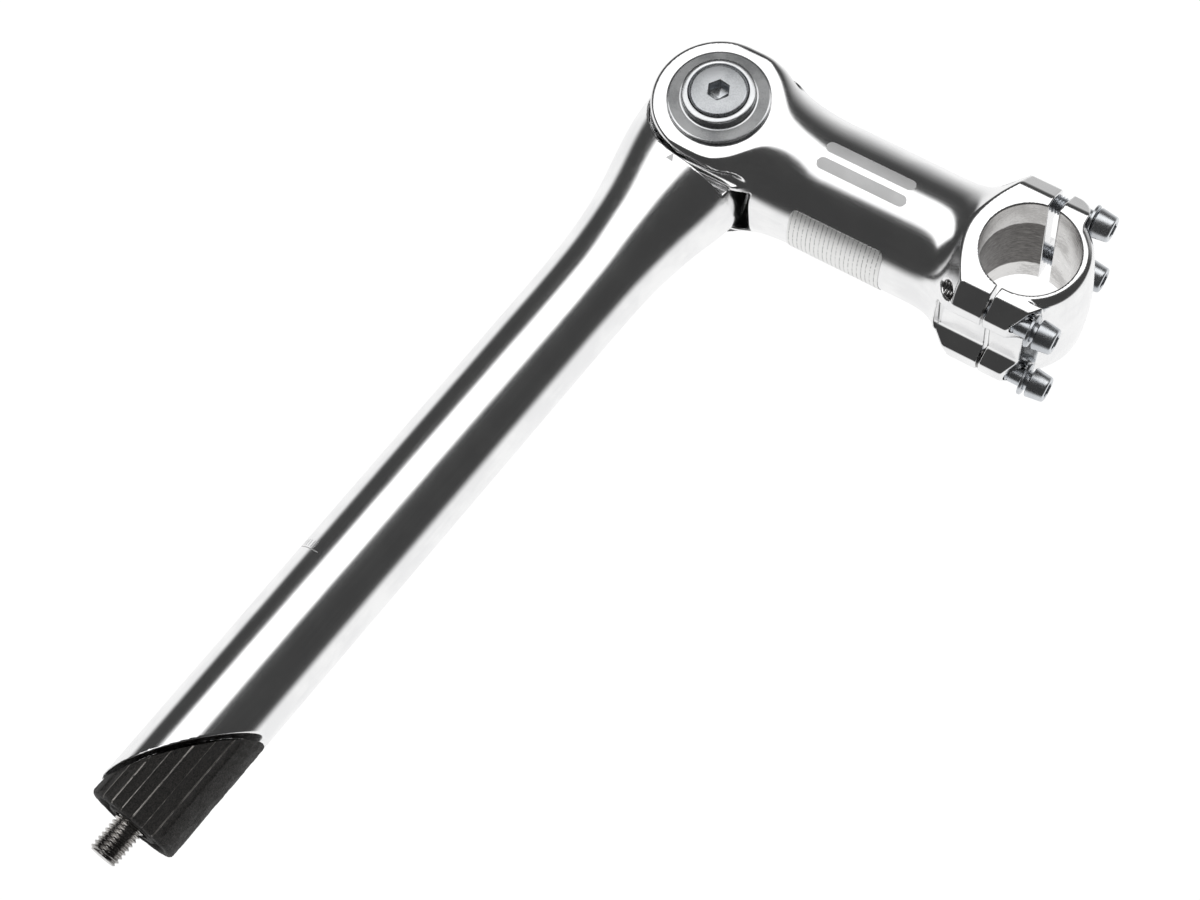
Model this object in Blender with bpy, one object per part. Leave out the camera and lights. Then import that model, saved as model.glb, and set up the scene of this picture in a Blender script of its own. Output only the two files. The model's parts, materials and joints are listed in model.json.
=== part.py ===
"""Adjustable quill stem for a bicycle: a quill with an expander wedge, a hinged arm with a
toothed pivot, and a four-bolt clamp for the handlebar.

Metres, +Z up. The origin is on the quill's axis, at its minimum-insertion line. +X points
forwards, the way the arm points, and Y is the direction of the handlebar and of the pivot.
"""

import math

import bmesh
import bpy
from mathutils import Matrix

MM = 0.001
GAP = 0.3 * MM

# Main sizes
PIVOT_HEIGHT = 155.0 * MM
QUILL_RADIUS = 12.7 * MM
BAR_RADIUS = 12.7 * MM
ARM_LENGTH = 89.0 * MM
ARM_REST_ANGLE = math.radians(7.25)
BODY_RADIUS = 17.4 * MM
CHEEK_RADIUS = 17.6 * MM
CHEEK_HALF_WIDTH = 18.9 * MM
TONGUE_HALF_WIDTH = 9.9 * MM
SLOT_END = 18.0 * MM
CLAMP_HALF_WIDTH = 19.6 * MM
CLAMP_HALF_HEIGHT = 21.0 * MM
CLAMP_CHAMFER = 5.4 * MM
CLAMP_REAR_RADIUS = 16.6 * MM
BOSS_REAR = 15.5 * MM
SPLIT_REAR = 2.05 * MM
WIDE_SPLIT = 4.05 * MM
SPLIT_SLOPE = 0.035

# Quill, with heights measured from the pivot
QUILL_FOOT = -240.0 * MM
QUILL_BORE_RADIUS = 9.5 * MM
BOLT_SHELF = -53.2 * MM
SHELF_THICKNESS = 9.0 * MM
CHANNEL_RADIUS = 6.9 * MM
SADDLE_RADIUS = 18.3 * MM
TONGUE_RADIUS = 16.5 * MM
SLEEVE_RADIUS = 6.5 * MM
SLEEVE_HALF_LENGTH = 7.6 * MM
SLANT_CENTRE = -212.8 * MM
SLANT_ANGLE = math.radians(52.3)

# Expander, with heights measured from the pivot
M8_RADIUS = 4.0 * MM
M8_CLEARANCE = M8_RADIUS + GAP
EXPANDER_END = -243.2 * MM
WEDGE_RADIUS = 12.5 * MM
WEDGE_FOOT = -233.1 * MM
WEDGE_TOP = -190.0 * MM
WEDGE_GAP = 1.2 * MM
EXPANDER_WASHER_RADIUS = 6.6 * MM
EXPANDER_WASHER_THICKNESS = 1.6 * MM
EXPANDER_HEAD_RADIUS = 6.5 * MM
EXPANDER_HEAD_HEIGHT = 8.0 * MM

# Pivot, with distances along Y from the middle
RING_OUTER = 14.5 * MM
RING_INNER = 8.0 * MM
RING_TEETH = 30
TOOTH_HEIGHT = 0.6 * MM
RING_BASE = 1.2 * MM
TONGUE_RING_TIP = 10.0 * MM
LOCK_RING_TIP = 10.4 * MM
RING_POCKET_RADIUS = 14.8 * MM
TONGUE_POCKET_FLOOR = 7.9 * MM
LOCK_POCKET_FLOOR = 12.4 * MM
CAP_RADIUS = 13.45 * MM
CAP_FACE = 20.3 * MM
HUB_FACE = 23.3 * MM
SPIGOT_RADIUS = 9.5 * MM
SPIGOT_END = 14.0 * MM
PIVOT_HEAD_FACE = 23.55 * MM
PIVOT_HEAD_RADIUS = 7.55 * MM
PIVOT_CONE_TOP = PIVOT_HEAD_FACE - 0.5 * MM
PIVOT_CONE_FOOT = PIVOT_CONE_TOP - (PIVOT_HEAD_RADIUS - M8_RADIUS)
NUT_ACROSS_FLATS = 13.0 * MM
NUT_INNER_FACE = 18.0 * MM
NUT_OUTER_FACE = 23.2 * MM
PIVOT_SCREW_END = 22.6 * MM

# Handlebar clamp, with distances along the arm from the bar's axis
BOLT_SPREAD = 14.0 * MM
BOLT_RISE = 17.2 * MM
M5_RADIUS = 2.5 * MM
M5_CLEARANCE = M5_RADIUS + GAP
TOP_BOLT_SEAT = 8.3 * MM
LOW_BOLT_SEAT = 9.4 * MM
LOW_BOLT_SLACK = 1.1 * MM
SPOT_FACE_RADIUS = 4.7 * MM
WASHER_THICKNESS = 0.9 * MM
BOLT_LENGTH = 20.0 * MM
M5_HEAD_RADIUS = 4.0 * MM
M5_HEAD_TOP_RADIUS = 3.4 * MM
M5_HEAD_HEIGHT = 4.9 * MM
M5_WASHER_RADIUS = 4.3 * MM
PLATE_RADIUS = 16.8 * MM
LABEL_START = 29.2 * MM
LABEL_END = 56.0 * MM
LUG_FRONT = (9.3 * MM, 14.4 * MM)
LUG_RIM = 4.0 * MM

FAR = 40.0 * MM
ROUND_STEPS = 48
CAP_STEPS = 36
SMALL_STEPS = 24
CORNER_STEPS = 6


def clear_scene():
    for thing in list(bpy.data.objects):
        bpy.data.objects.remove(thing, do_unlink=True)


def material(name, colour, metallic, roughness):
    made = bpy.data.materials.new(name)
    made.use_nodes = True
    shader = made.node_tree.nodes["Principled BSDF"]
    shader.inputs["Base Color"].default_value = (*colour, 1.0)
    shader.inputs["Metallic"].default_value = metallic
    shader.inputs["Roughness"].default_value = roughness
    made.diffuse_color = (*colour, 1.0)
    return made


def empty(name, location, rotation=(0, 0, 0), parent=None):
    guide = bpy.data.objects.new(name, None)
    bpy.context.scene.collection.objects.link(guide)
    guide.parent = parent
    guide.location = location
    guide.rotation_euler = rotation
    return guide


def place(name, shape, parent, paint, location=(0, 0, 0)):
    """Turns the bmesh shape into an object and frees it."""
    bmesh.ops.recalc_face_normals(shape, faces=shape.faces)
    mesh = bpy.data.meshes.new(name)
    shape.to_mesh(mesh)
    shape.free()
    mesh.materials.append(paint)
    mesh.shade_smooth()
    mesh.set_sharp_from_angle(angle=math.radians(30))
    made = bpy.data.objects.new(name, mesh)
    bpy.context.scene.collection.objects.link(made)
    made.parent = parent
    made.location = location
    return made


def copy_of(original, name, parent, location):
    made = bpy.data.objects.new(name, original.data)
    bpy.context.scene.collection.objects.link(made)
    made.parent = parent
    made.location = location
    return made


def combine(target, tool, operation="DIFFERENCE"):
    modifier = target.modifiers.new(tool.name, "BOOLEAN")
    modifier.operation = operation
    modifier.solver = "EXACT"
    modifier.object = tool
    tool.hide_render = True
    tool.display_type = "WIRE"


# Shapes


def turned(profile, steps=SMALL_STEPS, axis="Z"):
    """A profile of (radius, distance) points turned about the axis. It closes on itself
    unless both its ends lie on the axis."""
    shape = bmesh.new()
    points = [shape.verts.new((radius, 0, along)) for radius, along in profile]
    edges = [shape.edges.new(pair) for pair in zip(points, points[1:])]
    if profile[0][0] > 0:
        edges.append(shape.edges.new((points[-1], points[0])))
    bmesh.ops.spin(
        shape,
        geom=points + edges,
        cent=(0, 0, 0),
        axis=(0, 0, 1),
        angle=math.tau,
        steps=steps,
        use_merge=True,
    )
    bmesh.ops.remove_doubles(shape, verts=shape.verts, dist=1e-6)
    point_along(shape, axis)
    return shape


def point_along(shape, axis):
    """Turns a shape made along +Z to lie along the named axis."""
    turns = {"X": (90, "Y"), "Y": (-90, "X")}
    if axis in turns:
        degrees, about = turns[axis]
        turn = Matrix.Rotation(math.radians(degrees), 4, about)
        bmesh.ops.transform(shape, matrix=turn, verts=shape.verts)


def skinned(loops, closed=False, start=None, end=None):
    """A skin over loops of equally many points. closed joins the last loop to the first,
    and start and end are points that close an end with a cone instead of a flat face."""
    shape = bmesh.new()
    rows = [[shape.verts.new(point) for point in loop] for loop in loops]
    count = len(rows[0])
    pairs = list(zip(rows, rows[1:] + rows[:1])) if closed else list(zip(rows, rows[1:]))
    for low, high in pairs:
        for i in range(count):
            j = (i + 1) % count
            shape.faces.new((low[i], low[j], high[j], high[i]))
    if not closed:
        for row, tip in ((rows[0], start), (rows[-1], end)):
            close_end(shape, row, tip)
    return shape


def close_end(shape, row, tip):
    if tip is None:
        shape.faces.new(row)
        return
    point = shape.verts.new(tip)
    for i, corner in enumerate(row):
        shape.faces.new((corner, row[(i + 1) % len(row)], point))


def prism(outline, low, high, axis):
    """An outline extruded along an axis. Its points are (y, z) for X, (x, z) for Y and
    (x, y) for Z."""
    put = {
        "X": lambda a, b, along: (along, a, b),
        "Y": lambda a, b, along: (a, along, b),
        "Z": lambda a, b, along: (a, b, along),
    }[axis]
    return skinned([[put(a, b, along) for a, b in outline] for along in (low, high)])


def arc(radius, start, stop, steps, centre=(0, 0)):
    """Points on an arc, with the angles in degrees."""
    angles = [math.radians(start + (stop - start) * i / steps) for i in range(steps + 1)]
    return [(centre[0] + radius * math.cos(a), centre[1] + radius * math.sin(a)) for a in angles]


def circle(radius, along, steps=SMALL_STEPS):
    return [
        (radius * math.cos(math.tau * i / steps), radius * math.sin(math.tau * i / steps), along)
        for i in range(steps)
    ]


def hexagon(across_flats, along, steps=SMALL_STEPS):
    """A hexagon with as many points as the circles that it is skinned to."""
    points = []
    for i in range(steps):
        angle = math.tau * i / steps
        radius = across_flats / 2 / math.cos((angle % (math.pi / 3)) - math.pi / 6)
        points.append((radius * math.cos(angle), radius * math.sin(angle), along))
    return points


def socket_screw(rounds, across_flats, depth, axis):
    """A screw from circles of (radius, distance), whose last circle is the rim of a face
    with a hexagon socket."""
    top = rounds[-1][1]
    loops = [circle(radius, along) for radius, along in rounds]
    loops += [hexagon(across_flats, top), hexagon(across_flats, top - depth)]
    shape = skinned(loops, end=(0, 0, top - depth - across_flats / 6))
    point_along(shape, axis)
    return shape


def toothed_ring(back, base, tip):
    """A ring along Y with radial teeth, from its flat back to the teeth's roots and tips."""
    loops = []
    for radius, toothed in (
        (RING_INNER, False),
        (RING_OUTER, False),
        (RING_OUTER, True),
        (RING_INNER, True),
    ):
        loop = []
        for i in range(2 * RING_TEETH):
            angle = math.tau * i / (2 * RING_TEETH)
            along = (tip if i % 2 else base) if toothed else back
            loop.append((radius * math.cos(angle), along, radius * math.sin(angle)))
        loops.append(loop)
    return skinned(loops, closed=True)


# Quill and expander


def neck_loop(height, rear, front, half_width, squareness):
    """A cross-section of the quill: an oval that grows squarer towards the head."""
    points = []
    for i in range(ROUND_STEPS):
        angle = math.tau * i / ROUND_STEPS
        x, y = math.cos(angle), math.sin(angle)
        reach = front if x > 0 else rear
        points.append(
            (
                math.copysign(abs(x) ** (2 / squareness), x) * reach * MM,
                math.copysign(abs(y) ** (2 / squareness), y) * half_width * MM,
                height * MM,
            )
        )
    return points


def quill_body():
    """The plain shaft and the neck that flares up to the head."""
    sections = [
        (QUILL_FOOT / MM, 12.7, 12.7, 12.7, 2.0),
        (-62, 12.7, 12.7, 12.7, 2.0),
        (-50, 12.8, 12.8, 12.8, 2.0),
        (-42, 13.2, 13.2, 13.2, 2.05),
        (-35, 14.0, 13.9, 14.0, 2.15),
        (-29, 15.2, 14.9, 15.3, 2.3),
        (-23, 17.0, 16.2, 17.0, 2.5),
        (-17, 18.6, 17.0, 18.3, 2.6),
        (-11, 19.6, 16.2, 18.8, 2.7),
        (-6, 20.0, 14.0, 18.9, 2.8),
        (-2, 19.8, 12.0, 18.6, 2.8),
    ]
    return skinned([neck_loop(*section) for section in sections])


def saddle_outline():
    """Seen along Y, the room that a cheek of the arm needs in the quill's head."""
    rim = arc(SADDLE_RADIUS, 180, 270, 14)
    return [(-SADDLE_RADIUS, FAR)] + rim + [(FAR, -SADDLE_RADIUS), (FAR, FAR)]


def slanted_end(radius, gap, name, parent):
    """A block whose sloping side is the cut between the quill and the wedge. With a
    positive gap it takes the wedge's upper part, otherwise the quill's lower part."""
    half = 4 * radius
    low, high = (0, half) if gap else (-half, 0)
    outline = [(-half, low), (half, low), (half, high), (-half, high)]
    shape = prism(outline, -half, half, "Y")
    block = place(name, shape, parent, None, (0, 0, SLANT_CENTRE))
    block.rotation_euler = (0, -SLANT_ANGLE, 0)
    block.location.x += gap * math.sin(SLANT_ANGLE)
    block.location.z -= gap * math.cos(SLANT_ANGLE)
    return block


def rod(radius, low, high, steps=SMALL_STEPS, axis="Z"):
    """A plain cylinder between two distances along its axis."""
    return turned([(0, low), (radius, low), (radius, high), (0, high)], steps, axis)


def quill(frame, paint):
    stem = place("quill_stem", quill_body(), frame, paint)
    overlap = 2 * MM
    half = TONGUE_HALF_WIDTH + overlap
    tongue = rod(TONGUE_RADIUS, -half, half, ROUND_STEPS, "Y")
    combine(stem, place("tongue_blank", tongue, frame, paint), "UNION")
    for side, sign in (("left", -1), ("right", 1)):
        saddle = prism(saddle_outline(), sign * TONGUE_HALF_WIDTH, sign * FAR, "Y")
        combine(stem, place("saddle_" + side, saddle, frame, paint))
        low, high = sorted((sign * TONGUE_POCKET_FLOOR, sign * half))
        pocket = rod(RING_POCKET_RADIUS, low, high, ROUND_STEPS, "Y")
        combine(stem, place("ring_pocket_" + side, pocket, frame, paint))
    combine(stem, place("quill_inside", quill_inside(), frame, paint))
    sleeve_hole = rod(SLEEVE_RADIUS + GAP, -FAR, FAR, SMALL_STEPS, "Y")
    combine(stem, place("sleeve_hole", sleeve_hole, frame, paint))
    combine(stem, slanted_end(QUILL_RADIUS, 0, "quill_slant", frame))
    return stem


def quill_inside():
    """The bore from below, the shelf that the expander's bolt hangs from, and the channel
    that lets the bolt's head pass from above."""
    return turned(
        [
            (0, QUILL_FOOT - FAR),
            (QUILL_BORE_RADIUS, QUILL_FOOT - FAR),
            (QUILL_BORE_RADIUS, BOLT_SHELF - SHELF_THICKNESS),
            (M8_CLEARANCE, BOLT_SHELF - SHELF_THICKNESS),
            (M8_CLEARANCE, BOLT_SHELF),
            (CHANNEL_RADIUS, BOLT_SHELF),
            (CHANNEL_RADIUS, FAR),
            (0, FAR),
        ],
        CAP_STEPS,
    )


def ring(inner, outer, low, high, axis="Z"):
    """A plain washer or sleeve between two distances along its axis."""
    return turned([(inner, low), (outer, low), (outer, high), (inner, high)], axis=axis)


def expander(frame, steel, zinc, cast):
    washer_low = BOLT_SHELF + GAP
    washer_high = washer_low + EXPANDER_WASHER_THICKNESS
    washer = ring(M8_CLEARANCE, EXPANDER_WASHER_RADIUS, washer_low, washer_high)
    place("expander_washer", washer, frame, zinc)
    head_low = washer_high + GAP
    head_high = head_low + EXPANDER_HEAD_HEIGHT
    rim = 0.6 * MM
    point = 0.8 * MM
    rounds = [
        (M8_RADIUS - point, EXPANDER_END),
        (M8_RADIUS, EXPANDER_END + point),
        (M8_RADIUS, head_low),
        (EXPANDER_HEAD_RADIUS, head_low),
        (EXPANDER_HEAD_RADIUS, head_high - rim),
        (EXPANDER_HEAD_RADIUS - rim, head_high),
    ]
    place("expander_bolt", socket_screw(rounds, 6 * MM, 4 * MM, "Z"), frame, steel)
    place_wedge(frame, cast)


def place_wedge(frame, cast):
    """The wedge is round with a slanted top, and has a ring-shaped groove in its foot."""
    bevel = 0.8 * MM
    depth = 1.0 * MM
    inner, outer = 6.6 * MM, 10.0 * MM
    slope = 0.4 * MM
    blank = turned(
        [
            (M8_CLEARANCE, WEDGE_FOOT),
            (inner, WEDGE_FOOT),
            (inner + slope, WEDGE_FOOT + depth),
            (outer - slope, WEDGE_FOOT + depth),
            (outer, WEDGE_FOOT),
            (WEDGE_RADIUS - bevel, WEDGE_FOOT),
            (WEDGE_RADIUS, WEDGE_FOOT + bevel),
            (WEDGE_RADIUS, WEDGE_TOP),
            (M8_CLEARANCE, WEDGE_TOP),
        ],
        CAP_STEPS,
    )
    wedge = place("expander_wedge", blank, frame, cast)
    combine(wedge, slanted_end(QUILL_RADIUS, WEDGE_GAP, "wedge_slant", frame))


# Pivot


def pivot_inside(frame, hinge, steel):
    """The sleeve through the tongue, and the toothed rings that lock the arm's angle. The
    rings are drawn just out of mesh, as they are when the pivot bolt is slack."""
    length = SLEEVE_HALF_LENGTH
    sleeve = ring(M8_CLEARANCE, SLEEVE_RADIUS, -length, length, "Y")
    place("pivot_sleeve", sleeve, frame, steel)
    for side, sign in (("left", -1), ("right", 1)):
        base = TONGUE_RING_TIP - TOOTH_HEIGHT
        inner = toothed_ring(sign * (base - RING_BASE), sign * base, sign * TONGUE_RING_TIP)
        place("tongue_ring_" + side, inner, frame, steel)
        base = LOCK_RING_TIP + TOOTH_HEIGHT
        outer = toothed_ring(sign * (base + RING_BASE), sign * base, sign * LOCK_RING_TIP)
        place("lock_ring_" + side, outer, hinge, steel)


def cap_profile(mouth):
    """A cap washer's section along Y from the middle: spigot, flange and raised hub.
    mouth is the outline of the seat inside the hub."""
    flange_back = CHEEK_HALF_WIDTH + GAP
    return [
        (M8_CLEARANCE, SPIGOT_END),
        (SPIGOT_RADIUS, SPIGOT_END),
        (SPIGOT_RADIUS, flange_back),
        (CAP_RADIUS, flange_back),
        (CAP_RADIUS, CAP_FACE - 0.4 * MM),
        (CAP_RADIUS - 0.5 * MM, CAP_FACE),
        (9.4 * MM, CAP_FACE),
        (8.9 * MM, HUB_FACE - 0.6 * MM),
        (8.3 * MM, HUB_FACE),
    ] + mouth


def caps(hinge, slider, zinc):
    # The seat follows the screw's 45 degree cone, one gap away from it.
    cone_gap = GAP * math.sqrt(2)
    mouth = PIVOT_HEAD_RADIUS + GAP
    seat = [
        (mouth, HUB_FACE),
        (mouth, PIVOT_CONE_TOP + GAP - cone_gap),
        (M8_CLEARANCE, PIVOT_CONE_FOOT + GAP - cone_gap),
    ]
    left = turned(cap_profile(seat), CAP_STEPS, "Y")
    bmesh.ops.rotate(left, verts=left.verts, matrix=Matrix.Rotation(math.pi, 3, "Z"))
    place("cap_washer_left", left, slider, zinc)
    right = turned(cap_profile([(M8_CLEARANCE, HUB_FACE)]), CAP_STEPS, "Y")
    cap = place("cap_washer_right", right, hinge, zinc)
    low, high = NUT_INNER_FACE - GAP, FAR
    room = skinned([hexagon(NUT_ACROSS_FLATS + 2 * GAP, along) for along in (low, high)])
    point_along(room, "Y")
    combine(cap, place("nut_pocket", room, hinge, zinc))


def pivot_screw(hinge, slider, zinc):
    point = 0.8 * MM
    rounds = [
        (M8_RADIUS - point, -PIVOT_SCREW_END),
        (M8_RADIUS, point - PIVOT_SCREW_END),
        (M8_RADIUS, PIVOT_CONE_FOOT),
        (PIVOT_HEAD_RADIUS, PIVOT_CONE_TOP),
        (PIVOT_HEAD_RADIUS - 0.4 * MM, PIVOT_HEAD_FACE),
    ]
    screw = socket_screw(rounds, 5 * MM, 3.2 * MM, "Y")
    bmesh.ops.rotate(screw, verts=screw.verts, matrix=Matrix.Rotation(math.pi, 3, "Z"))
    place("pivot_bolt", screw, slider, zinc)
    loops = [
        hexagon(NUT_ACROSS_FLATS, NUT_INNER_FACE),
        hexagon(NUT_ACROSS_FLATS, NUT_OUTER_FACE),
        circle(M8_CLEARANCE, NUT_OUTER_FACE),
        circle(M8_CLEARANCE, NUT_INNER_FACE),
    ]
    nut = skinned(loops, closed=True)
    point_along(nut, "Y")
    place("pivot_nut", nut, hinge, zinc)


# Arm, with X along it from the pivot


def arm_loop(along, half_width, half_height, corner, slope=0.0, straight=0.0):
    """A cross-section of the arm: a rectangle with round corners, or straight ones where
    straight is 1. slope tilts the section, so that its top lies further forward."""
    points = []
    for quarter, (side, up) in enumerate(((1, 1), (-1, 1), (-1, -1), (1, -1))):
        centre = (side * (half_width - corner), up * (half_height - corner))
        bend = arc(corner, 90 * quarter, 90 * (quarter + 1), CORNER_STEPS, centre)
        for i, (y, z) in enumerate(bend):
            part = i / CORNER_STEPS
            chord_y = bend[0][0] * (1 - part) + bend[-1][0] * part
            chord_z = bend[0][1] * (1 - part) + bend[-1][1] * part
            y += (chord_y - y) * straight
            z += (chord_z - z) * straight
            points.append((along + slope * z, y, z))
    return points


def arm_body():
    """From the fork's square section through the round tube to the clamp's block. Each
    section is its distance along, half width, half height and corner radius, in
    millimetres."""
    sections = [
        (-2.0, 18.9, 17.6, 3.0),
        (9.0, 18.9, 17.6, 3.0),
        (13.0, 18.8, 17.6, 5.6),
        (16.0, 18.7, 17.6, 9.5),
        (18.5, 18.5, 17.6, 13.0),
        (22.0, 18.1, 17.5, 15.6),
        (25.5, 17.7, 17.4, 16.8),
        (29.0, 17.4, 17.4, 17.3),
        (64.0, 17.4, 17.4, 17.3),
        (69.0, 17.5, 17.8, 16.4),
        (72.5, 18.1, 18.9, 13.0),
        (75.5, 19.1, 20.1, 8.5),
    ]
    loops = [arm_loop(*[size * MM for size in section]) for section in sections]
    block = (CLAMP_HALF_WIDTH, CLAMP_HALF_HEIGHT, CLAMP_CHAMFER)
    loops.append(arm_loop(78.5 * MM, *block, straight=1.0))
    split = ARM_LENGTH - SPLIT_REAR
    loops.append(arm_loop(split, *block, slope=SPLIT_SLOPE, straight=1.0))
    return skinned(loops)


def clamp_side():
    """The flat side face of the clamp, which is round at its rear."""
    flat = CLAMP_HALF_HEIGHT - CLAMP_CHAMFER
    reach = math.degrees(math.asin(flat / CLAMP_REAR_RADIUS))
    outline = arc(CLAMP_REAR_RADIUS, 180 - reach, 180 + reach, 18)
    return prism(outline, -CLAMP_HALF_WIDTH, CLAMP_HALF_WIDTH, "Y")


def fork_end():
    """The round end of both cheeks, before the slot between them is cut."""
    half, edge, bevel = CHEEK_HALF_WIDTH, 1.0 * MM, 3.0 * MM
    corner = [
        (CHEEK_RADIUS - bevel, half),
        (CHEEK_RADIUS - edge, half - edge),
        (CHEEK_RADIUS, half - bevel),
    ]
    other = [(radius, -along) for radius, along in corner]
    profile = [(0, -half)] + other + corner[::-1] + [(0, half)]
    return turned(profile, ROUND_STEPS, "Y")


def channel_outline():
    """The shallow channel between the bolt bosses, on the clamp's top and underside."""
    floor, side = 17.0 * MM, 7.0 * MM
    rise = 9.0 * MM
    return [
        (-side, floor),
        (side, floor),
        (side + rise, floor + rise),
        (-side - rise, floor + rise),
    ]


def clamp_tools(hinge, paint):
    """What is cut from the arm and the faceplate alike: the handlebar's bore, and the
    channels between the bolt bosses."""
    bar = rod(BAR_RADIUS, -FAR, FAR, ROUND_STEPS, "Y")
    tools = [place("bar_bore", bar, hinge, paint, (ARM_LENGTH, 0, 0))]
    for name, up in (("top_channel", 1), ("under_channel", -1)):
        outline = [(y, up * z) for y, z in channel_outline()]
        shape = prism(outline, ARM_LENGTH - BOSS_REAR, ARM_LENGTH + FAR, "X")
        tools.append(place(name, shape, hinge, paint))
    return tools


def bolt_places():
    return [(side * BOLT_SPREAD, up * BOLT_RISE) for up in (1, -1) for side in (-1, 1)]


def arm(hinge, paint, tools):
    body = place("arm", arm_body(), hinge, paint)
    combine(body, place("fork_end", fork_end(), hinge, paint), "UNION")
    sides = place("clamp_side", clamp_side(), hinge, paint, (ARM_LENGTH, 0, 0))
    combine(body, sides, "UNION")
    half = TONGUE_HALF_WIDTH + GAP
    slot = prism([(-FAR, -FAR), (SLOT_END, -FAR), (SLOT_END, FAR), (-FAR, FAR)], -half, half, "Y")
    combine(body, place("tongue_slot", slot, hinge, paint))
    floor = LOCK_POCKET_FLOOR
    pocket = rod(RING_POCKET_RADIUS, -floor, floor, ROUND_STEPS, "Y")
    combine(body, place("lock_ring_pocket", pocket, hinge, paint))
    hole = rod(SPIGOT_RADIUS + GAP, -FAR, FAR, CAP_STEPS, "Y")
    combine(body, place("cap_hole", hole, hinge, paint))
    for tool in tools:
        combine(body, tool)
    for number, (y, z) in enumerate(bolt_places(), 1):
        thread = rod(M5_CLEARANCE, -FAR, 0, 16, "X")
        where = (ARM_LENGTH + 4 * MM, y, z)
        combine(body, place(f"arm_thread_{number}", thread, hinge, paint, where))
    return body


# Faceplate and its screws


def plate_outline():
    """The faceplate seen along Y, from the bar's axis: lugs with sloping fronts above and
    below, and a round front between them."""
    height = CLAMP_HALF_HEIGHT
    across, up = LUG_FRONT
    front = arc(PLATE_RADIUS, 56, -56, 16)
    top_rear = -SPLIT_REAR + WIDE_SPLIT
    return (
        [(top_rear, height), (LUG_RIM, height), (across, up)]
        + front
        + [(across, -up), (LUG_RIM, -height), (-SPLIT_REAR, -height)]
    )


def block_outline():
    wide, high, cut = CLAMP_HALF_WIDTH, CLAMP_HALF_HEIGHT, CLAMP_CHAMFER
    quarter = [(wide, high - cut), (wide - cut, high)]
    mirrored = [(-y, z) for y, z in reversed(quarter)]
    return quarter + mirrored + [(y, -z) for y, z in reversed(quarter + mirrored)]


def bolt_seat(z):
    """How far out a clamp bolt's washer lies, and the slack between the washer and the
    head. The lower bolts stand further out."""
    return (TOP_BOLT_SEAT, GAP) if z > 0 else (LOW_BOLT_SEAT, LOW_BOLT_SLACK)


def faceplate(slider, hinge, paint, tools):
    where = (ARM_LENGTH, 0, 0)
    # A hair wider than the block, so that the block alone gives the sides.
    wide = CLAMP_HALF_WIDTH + 1 * MM
    plate = place("faceplate", prism(plate_outline(), -wide, wide, "Y"), slider, paint, where)
    block = prism(block_outline(), -FAR, FAR, "X")
    combine(plate, place("plate_block", block, hinge, paint, where), "INTERSECT")
    for tool in tools:
        combine(plate, tool)
    for number, (y, z) in enumerate(bolt_places(), 1):
        seat = bolt_seat(z)[0] - GAP
        hole = turned(
            [
                (0, -FAR),
                (M5_CLEARANCE, -FAR),
                (M5_CLEARANCE, seat),
                (SPOT_FACE_RADIUS, seat),
                (SPOT_FACE_RADIUS, FAR),
                (0, FAR),
            ],
            axis="X",
        )
        tool = place(f"plate_hole_{number}", hole, hinge, paint, (ARM_LENGTH, y, z))
        combine(plate, tool)


def clamp_screw():
    """A screw along X with its head's underside at the origin."""
    point, rim = 0.5 * MM, 0.3 * MM
    rounds = [
        (M5_RADIUS - point, -BOLT_LENGTH),
        (M5_RADIUS, point - BOLT_LENGTH),
        (M5_RADIUS, 0),
        (M5_HEAD_RADIUS, 0),
        (M5_HEAD_TOP_RADIUS, M5_HEAD_HEIGHT - rim),
        (M5_HEAD_TOP_RADIUS - rim, M5_HEAD_HEIGHT),
    ]
    return socket_screw(rounds, 4 * MM, 2.5 * MM, "X")


def clamp_screws(slider, zinc):
    thickness = WASHER_THICKNESS
    first_screw = first_washer = None
    for number, (y, z) in enumerate(bolt_places(), 1):
        seat, slack = bolt_seat(z)
        at_washer = (ARM_LENGTH + seat, y, z)
        at_head = (ARM_LENGTH + seat + thickness + slack, y, z)
        names = (f"clamp_bolt_{number}", f"clamp_washer_{number}")
        if first_screw is None:
            washer = ring(M5_CLEARANCE, M5_WASHER_RADIUS, 0, thickness, "X")
            first_screw = place(names[0], clamp_screw(), slider, zinc, at_head)
            first_washer = place(names[1], washer, slider, zinc, at_washer)
        else:
            copy_of(first_screw, names[0], slider, at_head)
            copy_of(first_washer, names[1], slider, at_washer)


def label_film(hinge, paint):
    """A thin film round the arm's underside."""
    inner = BODY_RADIUS + 0.15 * MM
    outer = BODY_RADIUS + 0.4 * MM
    edge = arc(outer, 235, 305, 14) + arc(inner, 305, 235, 14)
    place("label_film", prism(edge, LABEL_START, LABEL_END, "X"), hinge, paint)


def build():
    clear_scene()
    polished = material("polished_aluminium", (0.83, 0.83, 0.83), 1.0, 0.16)
    zinc = material("zinc_plated_steel", (0.62, 0.64, 0.66), 1.0, 0.35)
    steel = material("dark_steel", (0.25, 0.25, 0.26), 1.0, 0.4)
    cast = material("black_cast_alloy", (0.025, 0.024, 0.023), 0.3, 0.75)
    film = material("label_film", (0.86, 0.87, 0.86), 0.0, 0.45)

    frame = empty("pivot_centre", (0, 0, PIVOT_HEIGHT))
    hinge = empty("arm_hinge", (0, 0, 0), (0, -ARM_REST_ANGLE, 0), frame)
    plate_slide = empty("faceplate_slide", (0, 0, 0), parent=hinge)
    cap_slide = empty("cap_slide", (0, 0, 0), parent=hinge)

    quill(frame, polished)
    expander(frame, steel, zinc, cast)
    pivot_inside(frame, hinge, steel)
    caps(hinge, cap_slide, zinc)
    pivot_screw(hinge, cap_slide, zinc)
    tools = clamp_tools(hinge, polished)
    arm(hinge, polished, tools)
    faceplate(plate_slide, hinge, polished, tools)
    clamp_screws(plate_slide, zinc)
    label_film(hinge, film)


build()
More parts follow.
